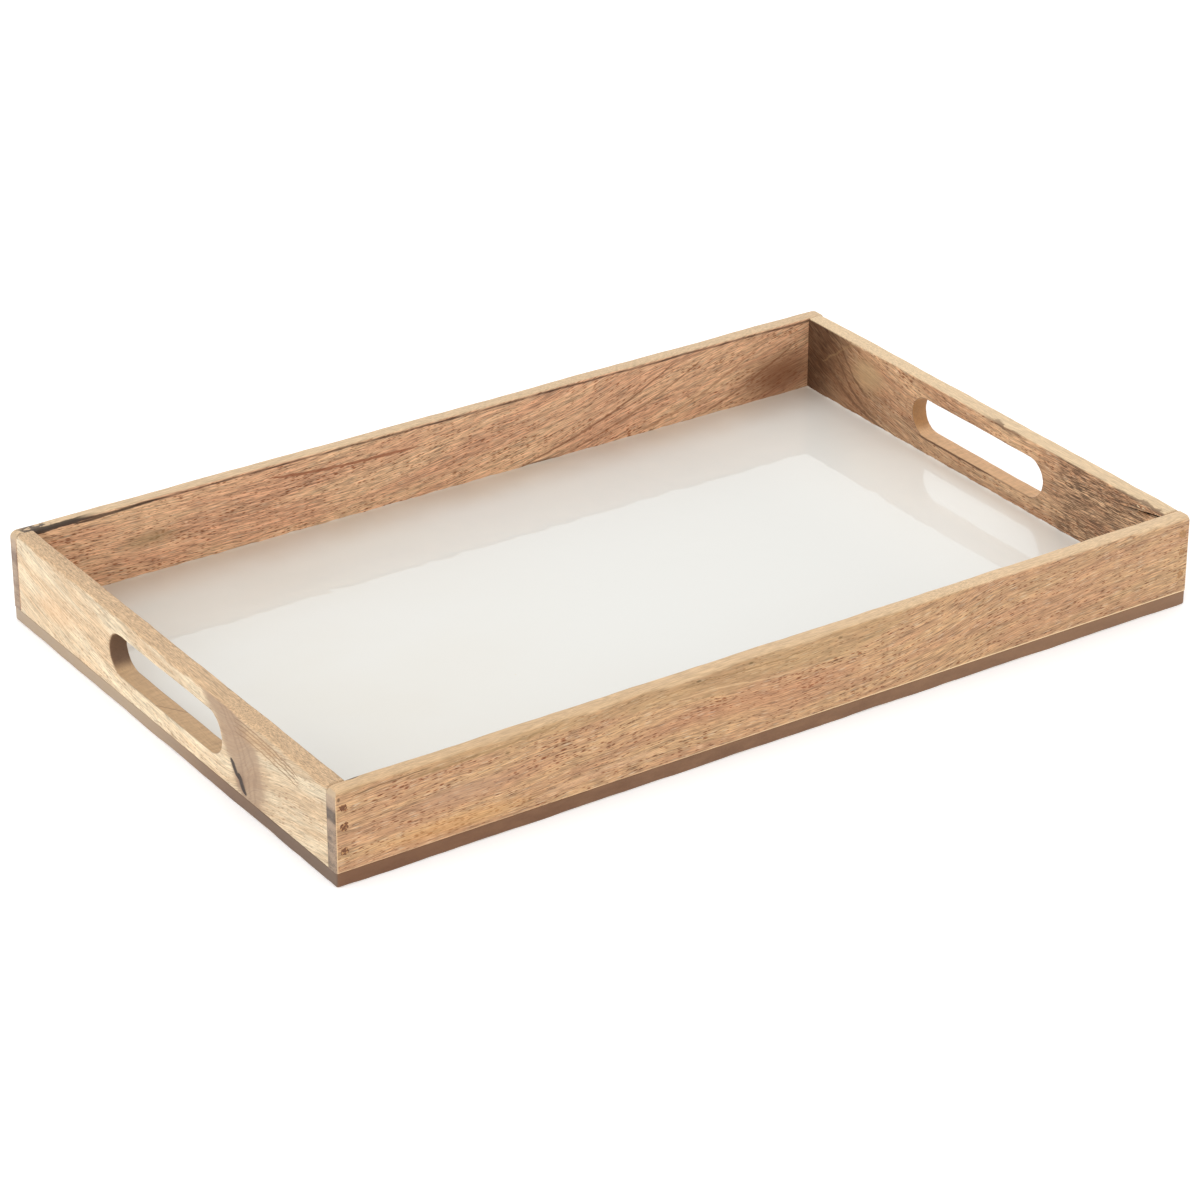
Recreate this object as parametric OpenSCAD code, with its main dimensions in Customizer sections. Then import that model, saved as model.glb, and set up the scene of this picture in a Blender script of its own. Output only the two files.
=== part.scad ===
// Serving tray with two hand slots.
// Four wooden boards are butt-jointed and bradded into a shallow frame. The long boards
// run the full length and cover the ends of the handle boards. The frame stands on a
// fibreboard base that is nailed on from below, and the floor inside is enamelled.
// Origin: the middle of the footprint, on the surface that the tray stands on.
// +X runs along the length, -Y is the front, +Z is up. Millimetres.

/* [Tray] */
// Overall length, along X
tray_length = 400; // [320:1:520]
// Overall width, along Y
tray_width = 254; // [200:1:360]
// Overall height, with the base board
tray_height = 40; // [38:0.5:60]

/* [Boards] */
// Thickness of the front and back boards
side_thickness = 6.5; // [6:0.25:9]
// Thickness of the two handle boards
handle_thickness = 8; // [7:0.25:12]
// Radius worn onto the upper edges of the boards
edge_radius = 1.5; // [0.5:0.1:2.5]

/* [Base and floor] */
// Thickness of the base board
base_thickness = 6; // [5:0.25:8]
// Radius of the base board's corners, seen from above
base_corner_radius = 1.2; // [0.5:0.1:4]
// Thickness of the enamel coat inside the frame
enamel_thickness = 0.5; // [0.3:0.1:1]

/* [Hand slots] */
// Length of a slot, end to end
slot_length = 88; // [80:1:100]
// Height of a slot
slot_height = 18; // [14:0.5:19]
// Height of a slot's middle above the surface that the tray stands on
slot_middle = 23; // [22:0.5:24]
// Width of the bevel around each mouth of a slot
slot_bevel = 0.8; // [0.2:0.1:1.2]

/* [Corner brads] */
// Heights of the three brads in each corner
corner_brad_heights = [14.5, 24.5, 32.5]; // [12:0.5:34]
// Distance of the corner brads from the outer face of the handle boards
corner_brad_inset = 3.6; // [3:0.1:4]
// Length of a corner brad
corner_brad_length = 25; // [16:1:28]
// Depth of the filler over the head of a corner brad
filler_depth = 1.2; // [0.6:0.1:1.8]

/* [Base brads] */
// Number of base brads along each long board
side_brad_count = 6; // [2:1:10]
// Distance of the outer base brads in a long board from the end of the tray
side_brad_margin = 20; // [15:1:40]
// Distances of the base brads in a handle board from its middle
handle_brad_offsets = [60, 90]; // [50:1:92]
// Length of a base brad
base_brad_length = 18; // [14:1:22]
// Depth of the dimple under the head of a base brad
dimple_depth = 0.4; // [0.2:0.1:0.8]

/* [Brad sizes] */
// Diameter of a brad's shank
shank_diameter = 1.2; // [1:0.1:1.6]
// Diameter of a brad's head, and of the filler and the dimple over it
head_diameter = 1.9; // [1.7:0.1:2.4]
// Thickness of a brad's head
head_thickness = 0.7; // [0.4:0.1:1]
// Length of a brad's point
point_length = 2; // [1:0.25:3]

/* [Hidden] */
$fn = 48;

board_height = tray_height - base_thickness;
well_length = tray_length - 2 * handle_thickness;
well_width = tray_width - 2 * side_thickness;
corner_brad_x = tray_length / 2 - corner_brad_inset;
side_brad_y = tray_width / 2 - side_thickness / 2;
side_brad_span = tray_length - 2 * side_brad_margin;
handle_brad_x = tray_length / 2 - handle_thickness / 2;
overcut = 1;

// -1 is the left or front side, 1 is the right or back side
LEFT = -1;
RIGHT = 1;
FRONT = -1;
BACK = 1;

// A flat upright outline, centred on the first axis, with its two upper corners rounded
module round_topped(width, height) {
    translate([-width / 2, 0])
        square([width, height - edge_radius]);
    translate([-width / 2 + edge_radius, 0])
        square([width - 2 * edge_radius, height]);
    for (side = [-1, 1])
        translate([side * (width / 2 - edge_radius), height - edge_radius])
            circle(r = edge_radius);
}

// The outline above, standing on the base board and drawn out along X
module board_along_x(thickness, length) {
    translate([-length / 2, 0, base_thickness])
        rotate([90, 0, 90])
            linear_extrude(length)
                round_topped(thickness, board_height);
}

// The same, drawn out along Y
module board_along_y(thickness, length) {
    translate([0, length / 2, base_thickness])
        rotate([90, 0, 0])
            linear_extrude(length)
                round_topped(thickness, board_height);
}

// A brad that points along +Z, with the top of its head at the origin
module brad(length) {
    cylinder(d = head_diameter, h = head_thickness);
    cylinder(d = shank_diameter, h = length - point_length);
    translate([0, 0, length - point_length])
        cylinder(d1 = shank_diameter, d2 = 0.2, h = point_length);
}

// Places its children at each corner brad: the axis points inwards from the outer face
module at_corner_brads(side, end) {
    for (height = corner_brad_heights)
        translate([end * corner_brad_x, side * tray_width / 2, height])
            rotate([side * 90, 0, 0])
                children();
}

// Places its children at each base brad of a long board
module at_side_base_brads(side) {
    for (i = [0 : side_brad_count - 1])
        translate([side_brad_span * (i / (side_brad_count - 1) - 0.5), side * side_brad_y, 0])
            children();
}

// Places its children at each base brad of a handle board
module at_handle_base_brads(end) {
    for (offset = handle_brad_offsets, direction = [-1, 1])
        translate([end * handle_brad_x, direction * offset, 0])
            children();
}

// One corner brad, under its filler
module corner_brad() {
    translate([0, 0, filler_depth])
        brad(corner_brad_length);
}

// The filler over one corner brad
module filler() {
    cylinder(d = head_diameter, h = filler_depth);
}

// Everything that one corner brad cuts out of the wood
module corner_brad_pocket() {
    corner_brad();
    translate([0, 0, -overcut])
        cylinder(d = head_diameter, h = filler_depth + overcut);
}

// One base brad, at the bottom of its dimple
module base_brad() {
    translate([0, 0, dimple_depth])
        brad(base_brad_length);
}

// Everything that one base brad cuts out of the base board and the frame
module base_brad_pocket() {
    base_brad();
    translate([0, 0, -overcut])
        cylinder(d = head_diameter, h = dimple_depth + overcut);
}

// A long board: it covers the ends of the handle boards, and its ends show
module long_board(side) {
    difference() {
        intersection() {
            translate([0, side * side_brad_y, 0])
                board_along_x(side_thickness, tray_length);
            board_along_y(tray_length, tray_width);
        }
        for (end = [LEFT, RIGHT])
            at_corner_brads(side, end)
                corner_brad_pocket();
        at_side_base_brads(side)
            base_brad_pocket();
    }
}

// The slot's cutting body: an oblong along Y through a board, bevelled at both faces
module slot_cut() {
    straight = slot_length - slot_height;
    radius = slot_height / 2;
    mouth = radius + slot_bevel + overcut;
    face = handle_thickness / 2;
    rotate([0, 90, 0])
        for (end = [-1, 1])
            translate([0, end * straight / 2, 0]) {
                cylinder(r = radius, h = handle_thickness + 2 * overcut, center = true);
                for (turn = [0, 180])
                    rotate([turn, 0, 0])
                        translate([0, 0, face - slot_bevel])
                            cylinder(r1 = radius, r2 = mouth, h = slot_bevel + overcut);
            }
    translate([0, straight / 2, 0])
        rotate([90, 0, 0])
            linear_extrude(straight)
                polygon([
                    [-face - overcut, -mouth], [-face + slot_bevel, -radius],
                    [face - slot_bevel, -radius], [face + overcut, -mouth],
                    [face + overcut, mouth], [face - slot_bevel, radius],
                    [-face + slot_bevel, radius], [-face - overcut, mouth]
                ]);
}

// A handle board: it stands between the long boards and carries a hand slot
module handle_board(end) {
    difference() {
        translate([end * handle_brad_x, 0, 0])
            board_along_y(handle_thickness, well_width);
        translate([end * handle_brad_x, 0, slot_middle])
            slot_cut();
        for (side = [FRONT, BACK])
            at_corner_brads(side, end)
                corner_brad_pocket();
        at_handle_base_brads(end)
            base_brad_pocket();
    }
}

module base_board() {
    color("#7d5c47")
        difference() {
            linear_extrude(base_thickness) {
                square([tray_length - 2 * base_corner_radius, tray_width], center = true);
                square([tray_length, tray_width - 2 * base_corner_radius], center = true);
                for (end = [LEFT, RIGHT], side = [FRONT, BACK])
                    translate([
                        end * (tray_length / 2 - base_corner_radius),
                        side * (tray_width / 2 - base_corner_radius)
                    ])
                        circle(r = base_corner_radius);
            }
            for (side = [FRONT, BACK])
                at_side_base_brads(side)
                    base_brad_pocket();
            for (end = [LEFT, RIGHT])
                at_handle_base_brads(end)
                    base_brad_pocket();
        }
}

module enamel_floor() {
    color("#ece8dc")
        translate([-well_length / 2, -well_width / 2, base_thickness])
            cube([well_length, well_width, enamel_thickness]);
}

module front_board() {
    color("#d3a678")
        long_board(FRONT);
}

module back_board() {
    color("#c0906a")
        long_board(BACK);
}

module left_handle_board() {
    color("#ecd3a8")
        handle_board(LEFT);
}

module right_handle_board() {
    color("#b58a62")
        handle_board(RIGHT);
}

module corner_brads(side, end) {
    color("#8f8d88")
        at_corner_brads(side, end)
            corner_brad();
}

module brad_filler(side, end) {
    color("#8a5a3c")
        at_corner_brads(side, end)
            filler();
}

module front_left_corner_brads() {
    corner_brads(FRONT, LEFT);
}

module front_right_corner_brads() {
    corner_brads(FRONT, RIGHT);
}

module back_left_corner_brads() {
    corner_brads(BACK, LEFT);
}

module back_right_corner_brads() {
    corner_brads(BACK, RIGHT);
}

module front_left_brad_filler() {
    brad_filler(FRONT, LEFT);
}

module front_right_brad_filler() {
    brad_filler(FRONT, RIGHT);
}

module back_left_brad_filler() {
    brad_filler(BACK, LEFT);
}

module back_right_brad_filler() {
    brad_filler(BACK, RIGHT);
}

module front_base_brads() {
    color("#8f8d88")
        at_side_base_brads(FRONT)
            base_brad();
}

module back_base_brads() {
    color("#8f8d88")
        at_side_base_brads(BACK)
            base_brad();
}

module left_base_brads() {
    color("#8f8d88")
        at_handle_base_brads(LEFT)
            base_brad();
}

module right_base_brads() {
    color("#8f8d88")
        at_handle_base_brads(RIGHT)
            base_brad();
}

base_board();
enamel_floor();
front_board();
back_board();
left_handle_board();
right_handle_board();
front_left_corner_brads();
front_right_corner_brads();
back_left_corner_brads();
back_right_corner_brads();
front_left_brad_filler();
front_right_brad_filler();
back_left_brad_filler();
back_right_brad_filler();
front_base_brads();
back_base_brads();
left_base_brads();
right_base_brads();
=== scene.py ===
"""Looks of the serving tray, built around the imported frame.

Lengths are in metres in the geometry and in millimetres where a name ends in _mm and in
the materials. Every board gets its own worn shape and its own figure of wood.
"""

from math import cos, pi, radians, sin

import bmesh
import bpy
import numpy as np
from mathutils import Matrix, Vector


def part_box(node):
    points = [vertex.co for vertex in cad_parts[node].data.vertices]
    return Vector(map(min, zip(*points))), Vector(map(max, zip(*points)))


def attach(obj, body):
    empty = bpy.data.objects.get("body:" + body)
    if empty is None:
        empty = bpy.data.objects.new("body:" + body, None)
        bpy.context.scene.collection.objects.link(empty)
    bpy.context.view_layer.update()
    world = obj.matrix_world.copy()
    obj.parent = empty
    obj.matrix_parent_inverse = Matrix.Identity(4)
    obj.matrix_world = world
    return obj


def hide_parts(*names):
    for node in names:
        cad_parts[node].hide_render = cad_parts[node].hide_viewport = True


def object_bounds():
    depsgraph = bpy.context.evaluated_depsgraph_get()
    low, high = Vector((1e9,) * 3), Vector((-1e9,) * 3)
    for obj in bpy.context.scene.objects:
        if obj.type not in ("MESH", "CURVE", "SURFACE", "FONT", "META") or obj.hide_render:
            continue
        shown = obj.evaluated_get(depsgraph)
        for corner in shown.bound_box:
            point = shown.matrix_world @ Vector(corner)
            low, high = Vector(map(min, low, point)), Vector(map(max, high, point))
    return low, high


MM = 0.001

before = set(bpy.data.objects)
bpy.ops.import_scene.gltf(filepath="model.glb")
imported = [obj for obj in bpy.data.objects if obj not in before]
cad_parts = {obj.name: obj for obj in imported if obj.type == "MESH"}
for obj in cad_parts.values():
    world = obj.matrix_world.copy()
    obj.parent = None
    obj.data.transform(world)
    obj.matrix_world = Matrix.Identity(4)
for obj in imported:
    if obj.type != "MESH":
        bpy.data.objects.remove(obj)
cad_low, cad_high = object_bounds()

# ---------------- sizes from the frame

HALF_LENGTH = cad_high.x
HALF_WIDTH = cad_high.y
RIM = cad_high.z
BASE_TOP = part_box("base_board")[1].z
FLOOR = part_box("enamel_floor")[1].z
SIDE_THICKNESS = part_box("front_board")[1].y + HALF_WIDTH
HANDLE_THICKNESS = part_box("left_handle_board")[1].x + HALF_LENGTH

# The hand slots, as the design has them
SLOT_LENGTH = 88 * MM
SLOT_HEIGHT = 18 * MM
SLOT_MIDDLE = 23 * MM

# How far a sanded face lies inside the nominal one, so that filler can stand proud of it
FACE_INSET = 0.06 * MM
# The gap between the end of a handle board and the long board that covers it
JOINT_GAP = 0.06 * MM

# ---------------- camera

CAMERA_AZIMUTH = radians(-34.0)
CAMERA_ELEVATION = radians(27.18)
CAMERA_DISTANCE = 1.6727
CAMERA_LENS = 123.9
# How far the camera stands to its own right of and above the line through the origin
CAMERA_OFFSET = (-0.0008, 0.00444)


def new_object(name, data):
    made = bpy.data.objects.new(name, data)
    bpy.context.scene.collection.objects.link(made)
    return made


def make_camera():
    a, e = CAMERA_AZIMUTH, CAMERA_ELEVATION
    back = Vector((sin(a) * cos(e), -cos(a) * cos(e), sin(e)))
    right = Vector((cos(a), sin(a), 0))
    up = back.cross(right)
    camera = new_object("camera", bpy.data.cameras.new("camera"))
    camera.data.lens = CAMERA_LENS
    camera.data.sensor_width = 36
    camera.data.clip_end = 50
    camera.location = back * CAMERA_DISTANCE + right * CAMERA_OFFSET[0] + up * CAMERA_OFFSET[1]
    camera.rotation_euler = back.to_track_quat("Z", "Y").to_euler()
    bpy.context.scene.camera = camera


# ---------------- mesh helpers


def wobble(t, seed, longest, octaves=4):
    """A smooth random curve of about unit height over t, from its longest wave down."""
    rng = np.random.default_rng(seed)
    total = np.zeros_like(np.asarray(t, float))
    for octave in range(octaves):
        wave = longest / 1.9**octave * rng.uniform(0.85, 1.15)
        total += 0.62**octave * np.sin(2 * pi * (t / wave + rng.uniform()))
    return total / 1.4


def bump(t, middle, half_width):
    """A smooth bump of height 1 at middle, 0 beyond half_width."""
    s = np.clip(1 - np.abs(np.asarray(t, float) - middle) / half_width, 0, 1)
    return s * s * (3 - 2 * s)


def ease(n):
    """n + 1 values from 0 to 1 that lie closer together near both ends."""
    return 0.5 - 0.5 * np.cos(np.linspace(0, pi, n + 1))


def piece(name, points, faces):
    """A smooth-shaded mesh object with its faces turned outwards, riding on the tray."""
    mesh = bpy.data.meshes.new(name)
    mesh.from_pydata(np.asarray(points, float).reshape(-1, 3).tolist(), [], faces)
    work = bmesh.new()
    work.from_mesh(mesh)
    bmesh.ops.recalc_face_normals(work, faces=work.faces)
    for face in work.faces:
        face.smooth = True
    work.to_mesh(mesh)
    work.free()
    made = new_object(name, mesh)
    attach(made, "root")
    return made


def grid_faces(n, m, wrap_n=False, wrap_m=False):
    """Quads over an n by m grid of points, numbered row by row."""
    rows = n if wrap_n else n - 1
    columns = m if wrap_m else m - 1
    return [
        (i * m + j, i * m + (j + 1) % m, (i + 1) % n * m + (j + 1) % m, (i + 1) % n * m + j)
        for i in range(rows)
        for j in range(columns)
    ]


def tube_faces(n, m):
    """Quads over n rings of m points, with a face over each end."""
    first, last = tuple(range(m)), tuple((n - 1) * m + j for j in range(m))
    return [*grid_faces(n, m, wrap_m=True), first[::-1], last]


def finish_piece(made, node, material):
    """Gives a piece its material, and puts it in the place of its CAD node."""
    made.data.materials.append(material)
    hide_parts(node)


# ---------------- long boards

# Length over which the top of a long board rolls down at its ends, and how far it drops
END_ROLL = 3.2 * MM
END_DROP = {"left": 2.6 * MM, "right": 0.8 * MM}
# Radii of the upright outer edges and of the two edges on the base board
UPRIGHT_RADIUS = 0.9 * MM
LOW_EDGE_RADIUS = 0.25 * MM
# How far hand planing has lowered the top, and how much thicker it left the right end
TOP_SAG = 0.08 * MM
THICKER = {"front": 0.4 * MM, "back": 0.6 * MM}
# Points on each rounded edge, and steps along the faces between them
CORNER_STEPS = 7
SECTION_STEPS = {"outer": 26, "top": 6, "inner": 26, "bottom": 5}
# Stations on each rolled end and between the ends
END_STATIONS = 12
MIDDLE_STATIONS = 390


def rolled(distance, length, depth):
    """How far an elliptical edge has dropped at a distance from its end."""
    s = np.clip(1 - np.asarray(distance, float) / length, 0, 1)
    return depth * (1 - np.sqrt(1 - s * s))


def section(outer, inner, low, high, radii):
    """Rounded rectangles, one for each station: (n, m, 2) points of depth and height.

    radii are those of the corners: outer low, outer high, inner high, inner low.
    """
    corners = [(outer, low, 1, 1), (outer, high, 1, -1), (inner, high, -1, -1), (inner, low, -1, 1)]
    first_turns = [270, 180, 90, 0]
    runs = []
    for (u, z, along_u, along_z), radius, turn in zip(corners, radii, first_turns):
        angles = np.radians(turn - np.linspace(0, 90, CORNER_STEPS))
        arc_u = (u + along_u * radius)[:, None] + radius[:, None] * np.cos(angles)
        arc_z = (z + along_z * radius)[:, None] + radius[:, None] * np.sin(angles)
        runs.append(np.stack([arc_u, arc_z], axis=-1))
    points = []
    for k, (run, count) in enumerate(zip(runs, SECTION_STEPS.values())):
        steps = np.linspace(0, 1, count + 1)[1:-1, None]
        start, end = run[:, -1:], runs[(k + 1) % 4][:, :1]
        points += [run, start + (end - start) * steps]
    return np.concatenate(points, axis=1)


def side_thickness(side, x):
    """Thickness of a long board at x: hand-planed, so the right end is a little thicker."""
    return SIDE_THICKNESS + THICKER[side] * np.asarray(x, float) / HALF_LENGTH


def stations():
    """Places along a long board, closer together where its ends roll over."""
    ends = END_ROLL * (1 - np.cos(np.linspace(0, pi / 2, END_STATIONS)))[:-1]
    middle = np.linspace(END_ROLL, 2 * HALF_LENGTH - END_ROLL, MIDDLE_STATIONS)
    distance = np.concatenate([ends, middle, (2 * HALF_LENGTH - ends)[::-1]])
    return distance - HALF_LENGTH


def long_board(side, outer_radius, inner_radius, seed):
    """The front or back board. The radii of its top edges are functions of x, in metres."""
    outwards = -1 if side == "front" else 1
    x = stations()
    from_end = HALF_LENGTH - np.abs(x)
    top_sag = TOP_SAG * np.exp(0.8 * wobble(x, seed, 0.19))
    drop = np.where(x < 0, END_DROP["left"], END_DROP["right"])
    top_sag += rolled(from_end, END_ROLL, drop)
    outer = FACE_INSET + rolled(from_end, UPRIGHT_RADIUS, UPRIGHT_RADIUS)
    inner = side_thickness(side, x)
    low = np.full_like(x, BASE_TOP)
    small = np.full_like(x, LOW_EDGE_RADIUS)
    radii = [small, outer_radius(x), inner_radius(x), small]
    outline = section(outer, inner, low, RIM - top_sag, radii)
    depth, height = outline[..., 0], outline[..., 1]
    along = np.broadcast_to(x[:, None], depth.shape)
    points = np.stack([along, outwards * (HALF_WIDTH - depth), height], axis=-1)
    return piece(f"{side}_board_wood", points, tube_faces(*depth.shape))


def front_outer_radius(x):
    return MM * (1.75 + 0.45 * wobble(x, 11, 0.085, 5) + 0.5 * bump(x, 0.15, 0.06))


def front_inner_radius(x):
    return MM * (1.15 + 0.25 * wobble(x, 12, 0.06))


def back_outer_radius(x):
    return MM * (1.6 + 0.3 * wobble(x, 13, 0.08))


def back_inner_radius(x):
    """The wane at the left end of the back board bites deep into its inner top edge."""
    wane = 1.5 * bump(x, -0.182, 0.016) + 0.8 * bump(x, -0.163, 0.028)
    ragged = 1 + 0.25 * wobble(x, 15, 0.012)
    return MM * (1.0 + 0.2 * wobble(x, 14, 0.05) + wane * ragged)


# ---------------- handle boards

# How wide the slot's edges are eased, and the radius of the edges that are not on top
SLOT_EASE = 0.7 * MM
PLAIN_EDGE = 0.15 * MM
# The slot's straight sides are matched with this half length of the board's long edges, and
# this turn of its round ends, in degrees up and down, with the board's ends
OVER_SLOT = 50 * MM
END_TURN = 11.0
# The points on a board's end keep this far from its bottom and its top
END_LOW = 0.5 * MM
END_HIGH = 3.5 * MM
# Points along a straight side of the slot, round a quarter turn, and up the board's end
STRAIGHT_POINTS = 82
QUARTER_POINTS = 46
END_POINTS = 20
# Rings of points over a face, across the board's thickness, and across the slot's wall
FACE_RINGS = 22
EDGE_RINGS = 7
WALL_RINGS = 9


def handle_ring(left_y, right_y, low, high):
    """Matching points of the slot's outline and of the board's outline, all the way round.

    Returns arrays of the slot's points and its outward directions, and of the board's points
    and their steps towards its middle, all of them as y and z.
    """
    straight = (SLOT_LENGTH - SLOT_HEIGHT) / 2
    arc = np.linspace(0, 1, QUARTER_POINTS)
    turns = 90 - (90 - END_TURN) * arc
    rows = []

    def add(slot_y, direction, board_yz, step):
        slot_yz = np.array([slot_y, SLOT_MIDDLE]) + SLOT_HEIGHT / 2 * np.array(direction)
        rows.append((slot_yz, direction, board_yz, step))

    def add_turned(side, up, turn, board_yz, step):
        direction = (side * cos(radians(turn)), up * sin(radians(turn)))
        add(side * straight, direction, board_yz, step)

    def add_quarter(side, up, order):
        """From the middle of an edge round to the board's end, or back if order is -1."""
        edge = high if up > 0 else low
        end_y = left_y if side < 0 else right_y
        for t, turn in list(zip(arc, turns))[::order]:
            board_y = side * OVER_SLOT + (end_y - side * OVER_SLOT) * t
            add_turned(side, up, turn, (board_y, edge), (-side if t == 1 else 0, -up))

    for top in (1, -1):
        edge = high if top > 0 else low
        for t in np.linspace(-1, 1, STRAIGHT_POINTS)[1:-1] * -top:
            add(t * straight, (0, top), (t * OVER_SLOT, edge), (0, -top))
        side = -top
        add_quarter(side, top, 1)
        for t in np.linspace(-1, 1, END_POINTS)[1:-1] * -top:
            height = low + END_LOW + (high - low - END_LOW - END_HIGH) * (1 + t) / 2
            end_y = left_y if side < 0 else right_y
            add_turned(side, 1, END_TURN * t, (end_y, height), (-side, 0))
        add_quarter(side, -top, -1)
    return tuple(np.array(column, float) for column in zip(*rows))


def handle_board(side, outer_radius, inner_radius, seed):
    """A handle board: a ring of cross-sections round its slot.

    The radii of its top edges are functions of y, in metres.
    """
    outwards = -1 if side == "left" else 1
    joint_x = outwards * (HALF_LENGTH - HANDLE_THICKNESS / 2)
    front_y = -HALF_WIDTH + float(side_thickness("front", joint_x)) + JOINT_GAP
    back_y = HALF_WIDTH - float(side_thickness("back", joint_x)) - JOINT_GAP
    slot_yz, direction, board_yz, step = handle_ring(front_y, back_y, BASE_TOP, RIM)

    y = board_yz[:, 0]
    top = (board_yz[:, 1] > RIM - 0.1 * MM) * 1.0
    board_yz[:, 1] -= top * TOP_SAG * np.exp(0.8 * wobble(y, seed, 0.15))
    outer_edge = PLAIN_EDGE + top * (outer_radius(y) - PLAIN_EDGE)
    inner_edge = PLAIN_EDGE + top * (inner_radius(y) - PLAIN_EDGE)

    def inset(edge):
        """The step inwards from the board's outline to where its face begins."""
        sideways = np.full_like(edge, PLAIN_EDGE)
        return step * np.stack([sideways, np.where(top > 0, edge, PLAIN_EDGE)], -1)

    around = np.arange(len(y)) / len(y)
    eased = SLOT_EASE * (1 + 0.3 * wobble(around, seed + 1, 0.21))[:, None]
    arc = np.radians(np.linspace(0, 90, CORNER_STEPS))
    thickness = HANDLE_THICKNESS - FACE_INSET
    loops = []

    def add(yz, depth):
        depth = np.broadcast_to(np.reshape(depth, (-1,)), (len(y),))
        x = outwards * (HALF_LENGTH - FACE_INSET - depth)
        loops.append(np.column_stack([x, yz]))

    def slot_edge(face, sign, angles):
        for angle in angles:
            out = eased * (1 - cos(angle))
            add(slot_yz + direction * out, face + sign * eased[:, 0] * (1 - sin(angle)))

    def face_rings(depth, edge, order):
        first = slot_yz + direction * eased
        last = board_yz + inset(edge)
        for t in ease(FACE_RINGS)[1:-1][::order]:
            add(first + (last - first) * t, depth)

    def board_edge(face, sign, edge, angles):
        for angle in angles:
            place = board_yz + inset(edge) * (1 - sin(angle))
            add(place, face + sign * edge * (1 - cos(angle)))

    slot_edge(0, 1, arc)
    face_rings(0, outer_edge, 1)
    board_edge(0, 1, outer_edge, arc)
    for t in np.linspace(0, 1, EDGE_RINGS)[1:-1]:
        add(board_yz, outer_edge + (thickness - inner_edge - outer_edge) * t)
    board_edge(thickness, -1, inner_edge, arc[::-1])
    face_rings(thickness, inner_edge, -1)
    slot_edge(thickness, -1, arc[::-1])
    for t in np.linspace(0, 1, WALL_RINGS)[1:-1][::-1]:
        add(slot_yz, eased[:, 0] + (thickness - 2 * eased[:, 0]) * t)

    points = np.stack(loops, axis=1)
    faces = grid_faces(*points.shape[:2], wrap_n=True, wrap_m=True)
    return piece(f"{side}_handle_board_wood", points, faces)


def handle_outer_radius(y, seed):
    """The outer top edge of a handle board, rounder towards the corners of the tray."""
    ends = bump(np.abs(y), HALF_WIDTH, 20 * MM)
    return MM * (1.6 + 1.0 * ends + 0.3 * wobble(y, seed, 0.07, 4))


def left_outer_radius(y):
    return handle_outer_radius(y, 21)


def left_inner_radius(y):
    return MM * (1.1 + 0.2 * wobble(y, 22, 0.05))


def right_outer_radius(y):
    return handle_outer_radius(y, 23)


def right_inner_radius(y):
    """The right board's inner top edge is worn away near the front and above the slot."""
    wear = 2.0 * bump(y, -0.108, 0.026) + 0.7 * bump(y, -0.008, 0.03)
    ragged = 1 + 0.25 * wobble(y, 25, 0.012)
    return MM * (1.0 + 0.2 * wobble(y, 24, 0.05) + wear * ragged)


# ---------------- base board

BASE_CORNER = 1.4 * MM
LOWER_EDGE = 0.9 * MM
UPPER_EDGE = 0.35 * MM
SANDED_OFF = 0.04 * MM
# Spacing of the points along the straight sides
BASE_STEP = 2 * MM
BASE_BRADS = ["front_base_brads", "back_base_brads", "left_base_brads", "right_base_brads"]
# Vertices nearer together than this belong to one brad
BRAD_REACH = 4 * MM
# A dimple is wider than its brad's head and a little deeper than the head lies
DIMPLE_RADIUS = 0.95 * MM
DIMPLE_EXTRA = 0.2 * MM


def base_outline():
    """Points round the base board and their outward directions, seen from above."""
    signs = np.array([(1, -1), (1, 1), (-1, 1), (-1, -1)])
    centres = signs * [HALF_LENGTH - BASE_CORNER, HALF_WIDTH - BASE_CORNER]
    points, directions = [], []
    for quarter in range(4):
        turn = quarter * 90
        for angle in np.radians(np.linspace(turn - 90, turn, 9)):
            direction = np.array([cos(angle), sin(angle)])
            points.append(centres[quarter] + BASE_CORNER * direction)
            directions.append(direction)
        start = points[-1]
        end = centres[(quarter + 1) % 4] + BASE_CORNER * direction
        steps = int(np.linalg.norm(end - start) / BASE_STEP)
        for t in np.linspace(0, 1, steps + 1)[1:-1]:
            points.append(start + (end - start) * t)
            directions.append(direction)
    return np.array(points), np.array(directions)


def base_board():
    points, directions = base_outline()
    around = np.arange(len(points)) / len(points)
    sanding = SANDED_OFF * np.exp(0.8 * wobble(around, 31, 0.03, 5))
    lower = LOWER_EDGE * (1 + 0.35 * wobble(around, 32, 0.05))
    upper = UPPER_EDGE * (1 + 0.5 * wobble(around, 33, 0.02))
    rings = []

    def ring(inset, height):
        flat = points - directions * (sanding + inset)[:, None]
        rings.append(np.column_stack([flat, np.broadcast_to(height, (len(points),))]))

    for angle in np.radians(np.linspace(0, 90, 7)):
        ring(lower * (1 - sin(angle)), lower * (1 - cos(angle)))
    for t in np.linspace(0, 1, 6)[1:-1]:
        ring(0 * lower, lower + (BASE_TOP - upper - lower) * t)
    for angle in np.radians(np.linspace(0, 90, 5)):
        ring(upper * (1 - cos(angle)), BASE_TOP - upper * (1 - sin(angle)))
    made = piece("base_board_panel", rings, tube_faces(len(rings), len(points)))
    cut_dimples(made)
    return made


def brad_places(node):
    """The middle of each brad of a node, seen from below."""
    places = []
    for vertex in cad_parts[node].data.vertices:
        at = vertex.co.to_2d()
        if all((at - first).length > BRAD_REACH for first, _ in places):
            places.append((at, []))
        near = next(spots for first, spots in places if (at - first).length <= BRAD_REACH)
        near.append(at)
    return [sum(spots, Vector((0, 0))) / len(spots) for _, spots in places]


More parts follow.
